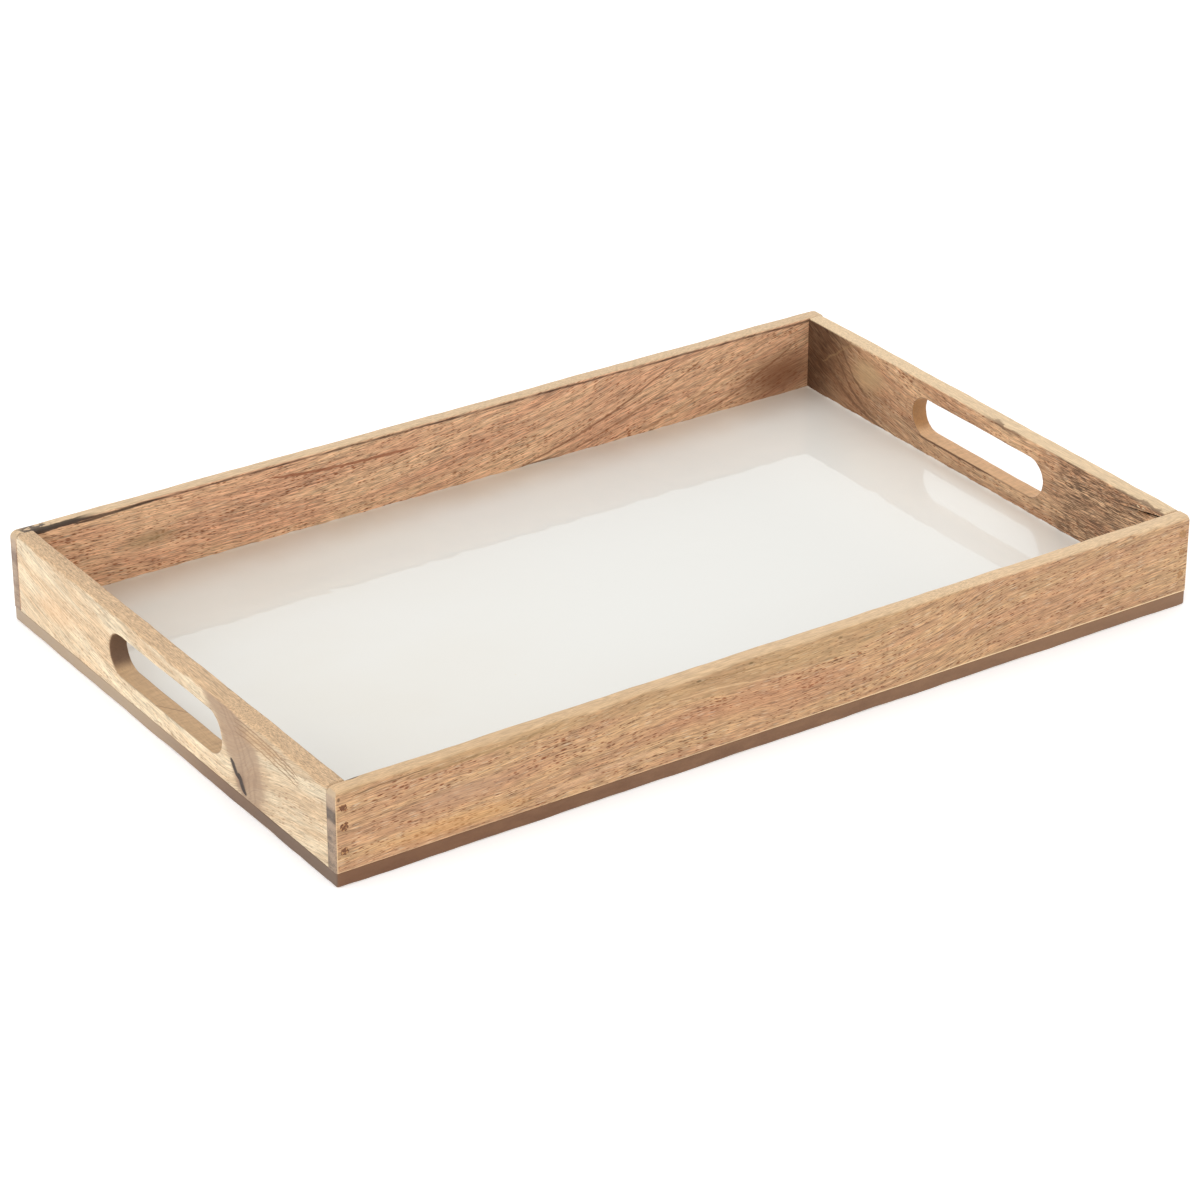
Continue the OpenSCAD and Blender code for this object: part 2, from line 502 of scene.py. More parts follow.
def dimple_cutter():
    """One object with a short cone for each base brad, wider below the base board."""
    depth = min(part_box(node)[0].z for node in BASE_BRADS) + DIMPLE_EXTRA
    work = bmesh.new()
    for node in BASE_BRADS:
        for at in brad_places(node):
            cone = bmesh.ops.create_cone(
                work,
                cap_ends=True,
                segments=20,
                radius1=DIMPLE_RADIUS * 1.25,
                radius2=DIMPLE_RADIUS,
                depth=2 * depth,
            )
            bmesh.ops.translate(work, verts=cone["verts"], vec=(at.x, at.y, 0))
    mesh = bpy.data.meshes.new("dimple_cutter")
    work.to_mesh(mesh)
    work.free()
    return new_object("dimple_cutter", mesh)


def cut_dimples(board):
    """Cuts the shallow dimple around the head of each base brad, and keeps the underside flat."""
    cutter = dimple_cutter()
    cut = board.modifiers.new("dimples", "BOOLEAN")
    cut.operation = "DIFFERENCE"
    cut.solver = "EXACT"
    cut.object = cutter
    evaluated = board.evaluated_get(bpy.context.evaluated_depsgraph_get())
    result = bpy.data.meshes.new_from_object(evaluated)
    board.modifiers.clear()
    board.data = result
    for polygon in result.polygons:
        if polygon.normal.z < -0.99:
            polygon.use_smooth = False
    bpy.data.objects.remove(cutter)


# ---------------- enamel floor

# How far the enamel runs in behind the boards' faces
ENAMEL_TUCK = 0.5 * MM
ENAMEL_STEP = 1.3 * MM


def enamel_floor():
    """The enamel: a slightly rippled sheet that climbs a little where it meets the wood."""
    left = -HALF_LENGTH + HANDLE_THICKNESS
    low_x, high_x = left - ENAMEL_TUCK, -left + ENAMEL_TUCK
    wall_y = HALF_WIDTH - SIDE_THICKNESS
    half_y = wall_y + ENAMEL_TUCK

    def spaced(low, high):
        """Even steps, with closer ones in the last millimetres by the walls."""
        near = np.array([0, 0.25, 0.5, 0.7, 0.9, 1.2, 1.6, 2.1, 2.8]) * MM
        even = np.linspace(low + 3.8 * MM, high - 3.8 * MM, int((high - low) / ENAMEL_STEP))
        return np.concatenate([low + near, even, (high - near)[::-1]])

    x, y = np.meshgrid(spaced(low_x, high_x), spaced(-half_y, half_y), indexing="ij")
    to_wall = np.minimum(-left - np.abs(x), wall_y - np.abs(y))
    # The climb is uneven along the walls: seen from above it leaves a ragged line
    along = x * 1.0 + y * 1.3
    climb = (0.34 + 0.16 * wobble(along, 41, 0.021, 5)) * MM
    fillet = climb * np.exp(-np.clip(to_wall, 0, None) / (0.8 * MM))
    swell = 0.012 * MM * (wobble(x + 0.4 * y, 42, 0.13) + wobble(y - 0.3 * x, 43, 0.09))
    ripple = 0.010 * MM * wobble(0.7 * x + y, 44, 0.031) * wobble(x - 0.5 * y, 45, 0.043)
    top = FLOOR + swell + ripple + fillet
    n, m = x.shape
    upper = np.stack([x, y, top], axis=-1).reshape(-1, 3)
    rim = (
        [i * m for i in range(n)]
        + [(n - 1) * m + j for j in range(1, m)]
        + [i * m + m - 1 for i in range(n - 2, -1, -1)]
        + [j for j in range(m - 2, 0, -1)]
    )
    lower = upper[rim] * [1, 1, 0] + [0, 0, BASE_TOP]
    faces = grid_faces(n, m)
    first = n * m
    for k, here in enumerate(rim):
        following = (k + 1) % len(rim)
        faces.append((here, rim[following], first + following, first + k))
    faces.append(tuple(range(first, first + len(rim))))
    return piece("enamel_coat", np.concatenate([upper, lower]), faces)


# ---------------- brad filler

CORNER_BRAD_HEIGHTS = [14.5 * MM, 24.5 * MM, 32.5 * MM]
PATCH_POINTS = 20
# The rings of a patch, from inside the wood to its middle: scale, and height over the face
PATCH_RINGS = [(1.0, -0.6 * MM), (1.0, 0.02 * MM), (0.8, 0.05 * MM), (0.3, 0.03 * MM)]


def filler_patches(side, end, seed):
    """Three ragged, roughly square patches of filler, one over each brad of a corner."""
    low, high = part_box(f"{side}_{end}_brad_filler")
    outwards = -1 if side == "front" else 1
    face_y = outwards * (HALF_WIDTH - FACE_INSET)
    middle_x = (low.x + high.x) / 2
    angles = np.linspace(0, 2 * pi, PATCH_POINTS, endpoint=False)
    square = 1 / np.maximum(np.abs(np.cos(angles)), np.abs(np.sin(angles)))
    rng = np.random.default_rng(seed)
    points, faces = [], []
    for height in CORNER_BRAD_HEIGHTS:
        wide, tall = rng.uniform(1.6, 2.0) * MM, rng.uniform(1.5, 1.9) * MM
        uneven = 1 + 0.13 * rng.standard_normal(PATCH_POINTS)
        reach = (0.45 + 0.55 * square / 1.25) * uneven
        x = middle_x + rng.normal(0, 0.2 * MM) + wide * reach * np.cos(angles)
        z = height + tall * reach * np.sin(angles)
        first = len(points)
        for scale, proud in PATCH_RINGS:
            for px, pz in zip(x, z):
                place = middle_x + (px - middle_x) * scale
                points.append((place, face_y + outwards * proud, height + (pz - height) * scale))
        patch_faces = tube_faces(len(PATCH_RINGS), PATCH_POINTS)
        faces += [tuple(first + k for k in face) for face in patch_faces]
    return piece(f"{side}_{end}_filler_patches", points, faces)


# ---------------- materials


def srgb(code):
    """A linear colour from a hex code."""
    values = [int(code[k : k + 2], 16) / 255 for k in (1, 3, 5)]
    return [v / 12.92 if v < 0.04045 else ((v + 0.055) / 1.055) ** 2.4 for v in values] + [1]


class Shader:
    """A material's nodes, with short calls for those that the surfaces share.

    A colour is the output of a node or a hex code.
    """

    def __init__(self, name):
        self.material = bpy.data.materials.new(name)
        self.material.use_nodes = True
        self.nodes = self.material.node_tree.nodes
        self.links = self.material.node_tree.links
        self.nodes.clear()

    def add(self, kind, inputs, **settings):
        node = self.nodes.new(kind)
        for name, value in settings.items():
            setattr(node, name, value)
        for key, value in inputs.items():
            if isinstance(value, bpy.types.NodeSocket):
                self.links.new(value, node.inputs[key])
            else:
                node.inputs[key].default_value = srgb(value) if isinstance(value, str) else value
        return node

    def math(self, operation, a, b=0.0):
        return self.add("ShaderNodeMath", {0: a, 1: b}, operation=operation).outputs[0]

    def plus(self, a, b):
        return self.math("ADD", a, b)

    def minus(self, a, b):
        return self.math("SUBTRACT", a, b)

    def times(self, a, b):
        return self.math("MULTIPLY", a, b)

    def absolute(self, value):
        return self.math("ABSOLUTE", value)

    def step(self, value, low, high):
        """0 below low, 1 above high and smooth between; low may be the greater."""
        inputs = {"Value": value, "From Min": low, "From Max": high}
        node = self.add("ShaderNodeMapRange", inputs, interpolation_type="SMOOTHSTEP")
        return node.outputs[0]

    def band(self, value, start, full, past, end):
        """1 from full to past, falling smoothly to 0 at start and at end."""
        return self.times(self.step(value, start, full), self.step(value, end, past))

    def scale(self, value, low, high, to_low, to_high):
        inputs = {"Value": value, "From Min": low, "From Max": high}
        inputs |= {"To Min": to_low, "To Max": to_high}
        return self.add("ShaderNodeMapRange", inputs).outputs[0]

    def vector(self, x, y, z):
        return self.add("ShaderNodeCombineXYZ", {0: x, 1: y, 2: z}).outputs[0]

    def noise(self, vector, detail=2.0, roughness=0.5):
        inputs = {"Vector": vector, "Scale": 1.0, "Detail": detail, "Roughness": roughness}
        return self.add("ShaderNodeTexNoise", inputs).outputs["Fac"]

    def cloud(self, a, b, c, detail=2.0, roughness=0.5):
        """Noise over three parts, each a number or a coordinate with the size of a feature."""
        parts = [self.times(p[0], 1 / p[1]) if isinstance(p, tuple) else p for p in (a, b, c)]
        return self.noise(self.vector(*parts), detail, roughness)

    def mix(self, amount, a, b, blend="MIX"):
        inputs = {"Factor": amount, 6: a, 7: b}
        node = self.add("ShaderNodeMix", inputs, data_type="RGBA", blend_type=blend)
        return node.outputs[2]

    def tint(self, colour, mask, tone, amount):
        """A colour with another laid over it where the mask is, as thick as amount."""
        return self.mix(self.times(mask, amount), colour, tone)

    def ramp(self, value, stops):
        node = self.add("ShaderNodeValToRGB", {0: value})
        elements = node.color_ramp.elements
        while len(elements) < len(stops):
            elements.new(0.5)
        for element, (place, colour) in zip(elements, stops):
            element.position = place
            element.color = srgb(colour)
        return node.outputs[0]

    def curve(self, value, points):
        """A smooth curve through points of place and height."""
        places, heights = zip(*points)
        low, high, bottom, reach = places[0], places[-1], min(heights), max(heights)
        node = self.add("ShaderNodeFloatCurve", {"Value": self.scale(value, low, high, 0, 1)})
        line = node.mapping.curves[0]
        while len(line.points) < len(points):
            line.points.new(0.5, 0.5)
        for point, (place, height) in zip(line.points, points):
            span = max(reach - bottom, 0.001)
            point.location = ((place - low) / (high - low), (height - bottom) / span)
        node.mapping.update()
        return self.scale(node.outputs[0], 0, 1, bottom, reach)

    def brighten(self, colour, amount):
        """A colour times a number."""
        colour = srgb(colour)[:3] if isinstance(colour, str) else colour
        node = self.add("ShaderNodeVectorMath", {0: colour, "Scale": amount}, operation="SCALE")
        return node.outputs[0]

    def cells(self, vector):
        """Distance to the nearest of many scattered points, and a random number for it."""
        node = self.add("ShaderNodeTexVoronoi", {"Vector": vector, "Scale": 1.0})
        split = self.add("ShaderNodeSeparateColor", {0: node.outputs["Color"]})
        return node.outputs["Distance"], split.outputs[0]

    def position_mm(self):
        """Object coordinates in millimetres, as x, y and z."""
        at = self.add("ShaderNodeTexCoord", {}).outputs["Object"]
        split = self.add("ShaderNodeSeparateXYZ", {0: at})
        return [self.times(out, 1000.0) for out in split.outputs]

    def normal(self):
        """The x, y and z of the direction that the surface faces."""
        facing = self.add("ShaderNodeNewGeometry", {}).outputs["Normal"]
        return self.add("ShaderNodeSeparateXYZ", {0: facing}).outputs

    def bump(self, height, strength, distance_mm):
        inputs = {"Height": height, "Strength": strength, "Distance": distance_mm * MM}
        return self.add("ShaderNodeBump", inputs).outputs[0]

    def surface(self, colour, roughness, normal=None, **extra):
        inputs = {"Base Color": colour, "Roughness": roughness}
        inputs |= {name.replace("_", " "): value for name, value in extra.items()}
        if normal is not None:
            inputs["Normal"] = normal
        principled = self.add("ShaderNodeBsdfPrincipled", inputs)
        output = self.add("ShaderNodeOutputMaterial", {})
        self.links.new(principled.outputs[0], output.inputs[0])
        return self.material


def spot(sh, a, b, middle, size, soft):
    """1 inside an ellipse in the plane of a and b, falling to 0 at its edge."""
    u = sh.times(sh.plus(a, -middle[0]), 1 / size[0])
    v = sh.times(sh.plus(b, -middle[1]), 1 / size[1])
    radius = sh.math("SQRT", sh.plus(sh.times(u, u), sh.times(v, v)))
    return sh.step(radius, 1.0, 1.0 - soft)


def stroke(sh, a, b, path, width, ragged):
    """1 along a drawn line through points of a and b, tapering out at both ends."""
    low, high = path[0][0], path[-1][0]
    wander = sh.cloud((a, 5), (b, 7), low, 3)
    shifted = sh.plus(b, sh.scale(wander, 0, 1, -ragged, ragged))
    off = sh.absolute(sh.minus(shifted, sh.curve(a, path)))
    taper = 0.2 * (high - low)
    ends = sh.band(a, low, low + taper, high - taper, high)
    reach = sh.scale(ends, 0, 1, 0.2, 1)
    body = sh.step(sh.math("DIVIDE", off, reach), width, width * 0.35)
    return sh.times(body, sh.step(ends, 0.0, 0.3))


class Board:
    """A board of light hardwood: its coordinates, its figure and the marks on it.

    grain is the axis that the grain follows, rise the height in millimetres that it gains
    along the board, as points of place and height. Places on a board are in millimetres.
    """

    def __init__(self, name, grain, rise, seed):
        self.sh = sh = Shader(name)
        self.x, self.y, self.z = sh.position_mm()
        self.along, self.deep = (self.x, self.y) if grain == "x" else (self.y, self.x)
        self.seed = seed
        self.normal = sh.normal()
        self.up = sh.step(self.normal[2], 0.35, 0.8)
        # The big face towards -x or -y: outside on the front and left boards, else inside
        self.face = sh.step(self.normal[1] if grain == "x" else self.normal[0], -0.3, -0.7)
        drift = self.patch(110, 30, 0.4)
        ripple = self.patch(26, 16, 1.4)
        bend = sh.plus(sh.scale(drift, 0, 1, -4, 4), sh.scale(ripple, 0, 1, -0.6, 0.6))
        self.height = sh.plus(sh.minus(self.z, sh.curve(self.along, rise)), bend)

    def stretched(self, height, length, width, shift):
        """Coordinates in which a feature is length mm along the board and width mm across."""
        sh = self.sh
        return sh.vector(
            sh.plus(sh.times(self.along, 1 / length), self.seed + shift),
            sh.times(self.deep, 1 / width),
            sh.times(height, 1 / width),
        )

    def patch(self, length, width, shift, detail=2.0):
        """Noise stretched straight along the board, whatever the grain does."""
        return self.sh.noise(self.stretched(self.z, length, width, shift), detail)

    def ragged(self, length, width, shift, reach, detail=3):
        """An uneven distance, from -reach to reach, by which the edge of a mark wanders."""
        return self.sh.scale(self.patch(length, width, shift, detail), 0.3, 0.7, -reach, reach)

    def grained(self, length, width, shift):
        """Coordinates stretched along the grain, which rises and falls along the board."""
        return self.stretched(self.height, length, width, shift)

    def figure(self, warm, straw, contrast, pores):
        """Colours the faces with patches, growth bands, streaks, fibres and pores."""
        sh = self.sh
        patch = sh.noise(self.grained(60, 8, 1.3), 3, 0.6)
        colour = sh.mix(sh.step(patch, 0.36, 0.66), warm, straw)
        # Lighter and darker along the grain, from broad bands down to hairs
        band = sh.noise(self.grained(120, 2.6, 2.1), 3, 0.65)
        self.streak = sh.noise(self.grained(11, 0.6, 3.7), 2, 0.75)
        self.fibre = sh.noise(self.grained(5, 0.3, 5.9), 1, 0.7)
        hair = sh.noise(self.grained(9, 0.46, 11.3), 1, 0.6)
        light = sh.times(band, 0.55)
        for part, weight in ((self.streak, 1.1), (self.fibre, 1.45), (hair, 1.2)):
            light = sh.plus(light, sh.times(part, weight))
        light = sh.scale(light, 1.65, 2.65, 1 - contrast, 1 + contrast)
        colour = sh.brighten(colour, light)
        # Dark pores, more crowded in some places than in others
        crowd = self.patch(30, 7, 6.1)
        far, chance = sh.cells(self.grained(2.9, 0.62, 7.3))
        limit = sh.times(sh.scale(crowd, 0.3, 0.7, 0.22, 0.58), sh.plus(chance, 0.25))
        self.pores = sh.step(far, limit, sh.times(limit, 0.35))
        dark = sh.mix(1.0, colour, "#ad8466", "MULTIPLY")
        self.colour = sh.mix(sh.times(self.pores, pores), colour, dark)
        # Pale flecks, and fine dark lines that come and go
        far, chance = sh.cells(self.grained(6, 0.5, 9.7))
        fleck = sh.times(sh.step(far, 0.42, 0.15), sh.step(chance, 0.5, 0.7))
        self.paint(fleck, "#ecd9bb", 0.34)
        ridge = sh.absolute(sh.plus(sh.noise(self.grained(95, 2.6, 8.8), 2), -0.5))
        line = sh.times(sh.step(ridge, 0.016, 0.004), sh.step(self.patch(50, 11, 4.4), 0.46, 0.58))
        self.colour = sh.mix(sh.times(line, 0.5), self.colour, sh.brighten(self.colour, 0.55))

    def brighten(self, amount):
        self.colour = self.sh.brighten(self.colour, amount)

    def paint(self, mask, tone, amount):
        self.colour = self.sh.tint(self.colour, mask, tone, amount)

    def paint_face(self, mask, tone, amount):
        """Paints on the one big face only."""
        self.paint(self.sh.times(mask, self.face), tone, amount)

    def draw(self, path, width, tone, amount, ragged=0.6):
        """Draws a line on the big face, through points of place along it and height."""
        mask = stroke(self.sh, self.along, self.z, path, width, ragged)
        self.paint_face(mask, tone, amount)

    def ellipse(self, middle, size, soft):
        """1 inside an ellipse round a place along the board and a height."""
        return spot(self.sh, self.along, self.z, middle, size, soft)

    def sanded_top(self, tone, streaks, lower, reach):
        """Pale sanded upper edge. It runs a little way down the faces, to a ragged line."""
        sh = self.sh
        edge = sh.minus(sh.plus(self.z, self.ragged(22, 5, 2.9, 1.5)), lower)
        upper = sh.times(self.up, sh.step(self.z, 35, 36))
        mask = sh.math("MAXIMUM", sh.step(edge, -reach, reach), upper)
        fine = sh.scale(sh.plus(self.streak, self.fibre), 0.7, 1.3, 1 - streaks, 1 + streaks)
        self.paint(mask, sh.brighten(tone, fine), 0.9)

    def end_grain(self, dark, light):
        """Covers the ends of a long board with close end grain, darkest near the top."""
        sh = self.sh
        mask = sh.step(sh.absolute(self.normal[0]), 0.5, 0.75)
        blocks = sh.cloud((self.y, 9), 3.0, (self.z, 2.6), 3, 0.6)
        fine = sh.cloud((self.y, 0.7), 1.0, (self.z, 0.6), 3)
        rings = sh.plus(sh.times(blocks, 0.6), sh.times(fine, 0.4))
        tone = sh.ramp(rings, [(0.32, dark), (0.56, light)])
        tone = sh.tint(tone, sh.band(self.z, 25.5, 28.0, 30.5, 32.5), dark, 0.75)
        tone = sh.tint(tone, sh.step(self.z, 31.8, 34.5), "#b39b82", 0.55)
        tone = sh.tint(tone, sh.step(self.z, 36.2, 38.0), "#c0a888", 0.7)
        self.paint(mask, tone, 1.0)

    def slot_walls(self, floor_tone, end_tone):
        """The sawn walls of a hand slot: flat grain below and above, end grain at its ends."""
        sh = self.sh
        turned = sh.absolute(self.normal[0])
        inside = sh.step(sh.absolute(self.y), 46, 45)
        inside = sh.times(inside, sh.band(self.z, 12.6, 13.4, 32.4, 33.2))
        sawn = sh.times(inside, sh.step(turned, 0.75, 0.4))
        saw_marks = sh.cloud((self.y, 1.4), (self.x, 6), 0.0)
        light = sh.scale(sh.plus(saw_marks, self.streak), 0.7, 1.3, 0.84, 1.15)
        ends = sh.step(sh.absolute(self.normal[1]), 0.35, 0.85)
        tone = sh.mix(ends, floor_tone, end_tone)
        self.paint(sawn, sh.brighten(tone, light), 1.0)
        arris = sh.band(turned, 0.3, 0.6, 0.8, 0.97)
        self.paint(sh.times(arris, inside), "#7f6248", 0.5)

    def finish(self):
        """A dull surface with fine relief: the fibres stand up and the pores lie deeper."""
        sh = self.sh
        grooves = sh.minus(sh.times(self.fibre, 0.6), self.pores)
        relief = sh.plus(sh.times(self.streak, 0.6), grooves)
        roughness = sh.scale(self.fibre, 0.2, 0.8, 0.5, 0.66)
        normal = sh.bump(relief, 0.6, 0.07)
        return sh.surface(self.colour, roughness, normal, Specular_IOR_Level=0.35)


def front_wood():
    """Warm wood with straw-coloured wood above it, fine lines and pin knots near the top."""
    wood = Board("front_wood", "x", [(-200, 0), (-60, 7), (30, 8), (110, 21), (200, 30)], 0.0)
    sh = wood.sh
    wood.figure("#af8562", "#b8936b", 0.52, 1.0)
    boundary = [(-200, 36.5), (-90, 33.5), (0, 27.5), (30, 28.5), (52, 35), (75, 39), (200, 41)]
    above = sh.minus(wood.z, sh.curve(wood.along, boundary))
    above = sh.plus(above, wood.ragged(30, 4, 0.2, 2))
    wood.paint_face(sh.step(above, -1.8, 2.6), "#ab8f64", 0.4)
    wood.paint(wood.ellipse((-145, 23), (30, 6), 0.9), "#b08c70", 0.5)
    wood.paint(wood.ellipse((-150, 11), (48, 5), 0.8), "#d6a05e", 0.35)
    wood.paint(wood.ellipse((-20, 21), (70, 8), 0.9), "#b97a55", 0.22)
    wood.draw([(-118, 9), (-95, 12), (-75, 13), (-55, 13)], 1.8, "#dab08a", 0.38, 2.4)
    wood.draw([(-60, 30), (-42, 31.6), (-4, 28.2), (20, 28)], 0.5, "#dcb78c", 0.4)
    wood.draw([(-196, 35.6), (-180, 37), (-160, 37.5)], 0.35, "#6e5334", 0.8)
    wood.draw([(-172, 35), (-150, 35.8), (-128, 36.4), (-100, 38)], 0.8, "#8c7048", 0.5, 1.5)
    wood.draw([(-70, 33), (-40, 36), (-10, 35), (20, 36)], 0.3, "#8c6c42", 0.6, 1.4)
    for knot in ((-18, 37.5), (-42, 37.0), (-127, 33), (24, 36)):
        wood.paint(wood.ellipse(knot, (1.7, 0.7), 0.7), "#5f4a28", 0.7)
    shade = sh.mix(sh.step(wood.x, -150, 150), "#c8a983", "#d6b994")
    wood.sanded_top(shade, 0.22, 39.2, 1.2)
    # Painted highlight: the upright edges are painted pale, and the left one has a pit
    upright_highlight = sh.step(sh.absolute(wood.x), 199.2, 199.7)
    wood.paint_face(upright_highlight, "#e6c79c", 0.6)
    pit = wood.ellipse((-198.4, 36.2), (0.8, 1.1), 0.6)
    wood.paint_face(pit, "#5a4026", 0.8)
    # Painted shadow in a gap on top, at the joint with the left board
    joint_gap_shadow = spot(sh, wood.x, wood.y, (-189.5, -121.0), (4.0, 1.5), 0.4)
    wood.paint(sh.times(joint_gap_shadow, sh.step(wood.z, 36, 37)), "#2e2823", 0.92)
    # The edge on the base board shows pale, the more so to the right
    pale_edge = sh.times(sh.step(wood.z, 6.75, 6.45), sh.scale(wood.x, -80, 80, 0.3, 1.0))
    wood.paint(pale_edge, "#efd2a6", 0.8)
    wood.end_grain("#4f4239", "#a08872")
    return wood.finish()


def back_wood():
    """Reddish wood with long rising rings, a dark right end and a wane at the left end."""
    wood = Board("back_wood", "x", [(-200, 2), (-90, 0), (20, 10), (110, 30), (200, 50)], 13.7)
    sh = wood.sh
    wood.figure("#c99876", "#d4ab85", 0.58, 1.0)
    wood.paint(wood.ellipse((-140, 22), (20, 5), 0.9), "#9c8660", 0.6)
    wood.draw([(-89, 35), (-40, 30.5), (-7, 30)], 0.9, "#8a4e30", 0.75, 1.0)
    wood.draw([(36, 6.5), (60, 12), (90, 22), (111, 32), (125, 39)], 0.7, "#7d4f33", 0.7)
    wood.draw([(131, 6.5), (150, 13), (170, 22), (186, 30)], 0.8, "#7d4f33", 0.6)
    wood.draw([(60, 6.5), (90, 15), (120, 27), (140, 38)], 0.6, "#8a5a3a", 0.6)
    wood.draw([(96, 6.5), (125, 14), (150, 25), (170, 36)], 0.9, "#94603e", 0.5, 1.4)
    wood.paint(wood.ellipse((176, 16), (34, 18), 0.9), "#7b4c2e", 0.85)
    wood.paint(wood.ellipse((48, 7), (16, 1.2), 0.8), "#5d4030", 0.7)
    wood.sanded_top("#cdb28f", 0.24, 40.4, 0.8)
    # A thin dark line under the inner top edge
    inner = sh.step(wood.y, 122.2, 121.5)
    thin = sh.plus(wood.z, wood.ragged(24, 5, 0.7, 0.35))
    line = sh.times(sh.band(thin, 38.0, 38.4, 38.9, 39.3), inner)
    patchy = sh.scale(wood.patch(20, 40, 0.9), 0.35, 0.6, 0.45, 1)
    wood.paint(sh.times(line, patchy), "#463123", 0.9)
    # The wane is dark, and runs out into a line to the right
    rough = sh.plus(wood.z, wood.ragged(9, 3, 0.3, 0.5))
    wedge = sh.plus(rough, sh.scale(wood.x, -187, -150, 0.0, -1.0))
    wane = sh.times(sh.step(wedge, 37.3, 37.7), sh.step(wood.y, 122.8, 122.3))
    wane = sh.times(wane, sh.band(wood.x, -194, -191, -174, -162))
    wood.paint(wane, "#33251b", 0.92)
    tail = [(-176, 37.4), (-154, 38.0), (-134, 38.6)]
    wood.draw(tail, 0.7, "#3f2e22", 0.85, 0.3)
    # Dark specks on top of the left end
    around = sh.times(spot(sh, wood.x, wood.y, (-191, 122), (10, 6), 0.5), wood.up)
    specks = sh.times(around, sh.step(wood.patch(3, 2, 0.5), 0.4, 0.5))
    wood.paint(specks, "#473b33", 0.9)
    wood.end_grain("#7a6557", "#a8927e")
    return wood.finish()


def left_wood():
    """Pale wood with a dark, cracked swirl at the near end of the slot."""
    wood = Board("left_wood", "y", [(-127, 24), (-70, 12), (-40, 0), (0, 2), (127, 22)], 29.2)
    sh = wood.sh
    wood.figure("#ccb08d", "#dbc8a9", 0.36, 0.55)
    wood.brighten(sh.scale(wood.y, -64, -30, 0.88, 1.0))
    wood.brighten(sh.scale(wood.z, 30, 34, 1.0, 0.91))
    # The swirl lies between two leaning curves, given as points of height and place
    near = sh.curve(wood.z, [(3, -69), (12, -75), (25, -72), (32, -66), (40, -56)])
    far = sh.curve(wood.z, [(3, -61), (6, -57), (21, -48), (28, -42), (40, -30)])
    place = sh.plus(wood.y, wood.ragged(7, 7, 0.6, 1.6))
    from_near = sh.minus(place, near)
    to_far = sh.minus(far, place)
    swirl = sh.times(sh.step(from_near, -3.5, 3.0), sh.step(to_far, -3.0, 4.0))
    wood.paint_face(swirl, "#8f745f", 0.72)
    wood.paint_face(wood.ellipse((-58, 12), (6, 9), 0.9), "#6d5142", 0.6)
    halo = sh.times(sh.step(from_near, -9.0, -2.0), sh.step(to_far, -2.0, 3.0))
    wood.paint_face(halo, "#a88a6c", 0.3)
    for bend in (6.0, 10.5, 15.0):
        curl = sh.absolute(sh.plus(from_near, -bend))
        wood.paint_face(sh.times(sh.step(curl, 1.4, 0.2), swirl), "#6f5140", 0.22)
    wood.paint_face(wood.ellipse((88, 19), (26, 7), 0.9), "#d9ae82", 0.5)
    for path, width in (
        ([(11.5, -56.4), (15, -53.6), (19, -51.0)], 2.4),
        ([(6.8, -61.4), (10.5, -58.6), (15, -56.4)], 2.6),
    ):
        crack = stroke(sh, wood.z, wood.y, path, width, 0.2)
        wood.paint_face(crack, "#33261e", 0.97)
    for rise in (0.0, 2.2, 4.0, 5.6):
        line = [(-104, 29 + 0.7 * rise), (-84, 31 + rise), (-64, 32 + rise), (-52, 31 + 1.1 * rise)]
        wood.draw(line, 0.45, "#7c5e40", 0.75)
    wood.paint_face(wood.ellipse((-74, 34), (22, 6), 0.9), "#b58d62", 0.4)
    wood.sanded_top("#bf9f7b", 0.42, 38.9, 0.5)
    wood.slot_walls("#bb9b76", "#6a503c")
    # A slanting line across the floor of the slot
    floor = sh.times(sh.step(wood.z, 14.6, 14.2), wood.up)
    seam = sh.absolute(sh.plus(wood.y, sh.plus(sh.times(wood.x, 1.6), 312.0)))
    wood.paint(sh.times(sh.step(seam, 0.6, 0.2), floor), "#7d6146", 0.7)
    return wood.finish()


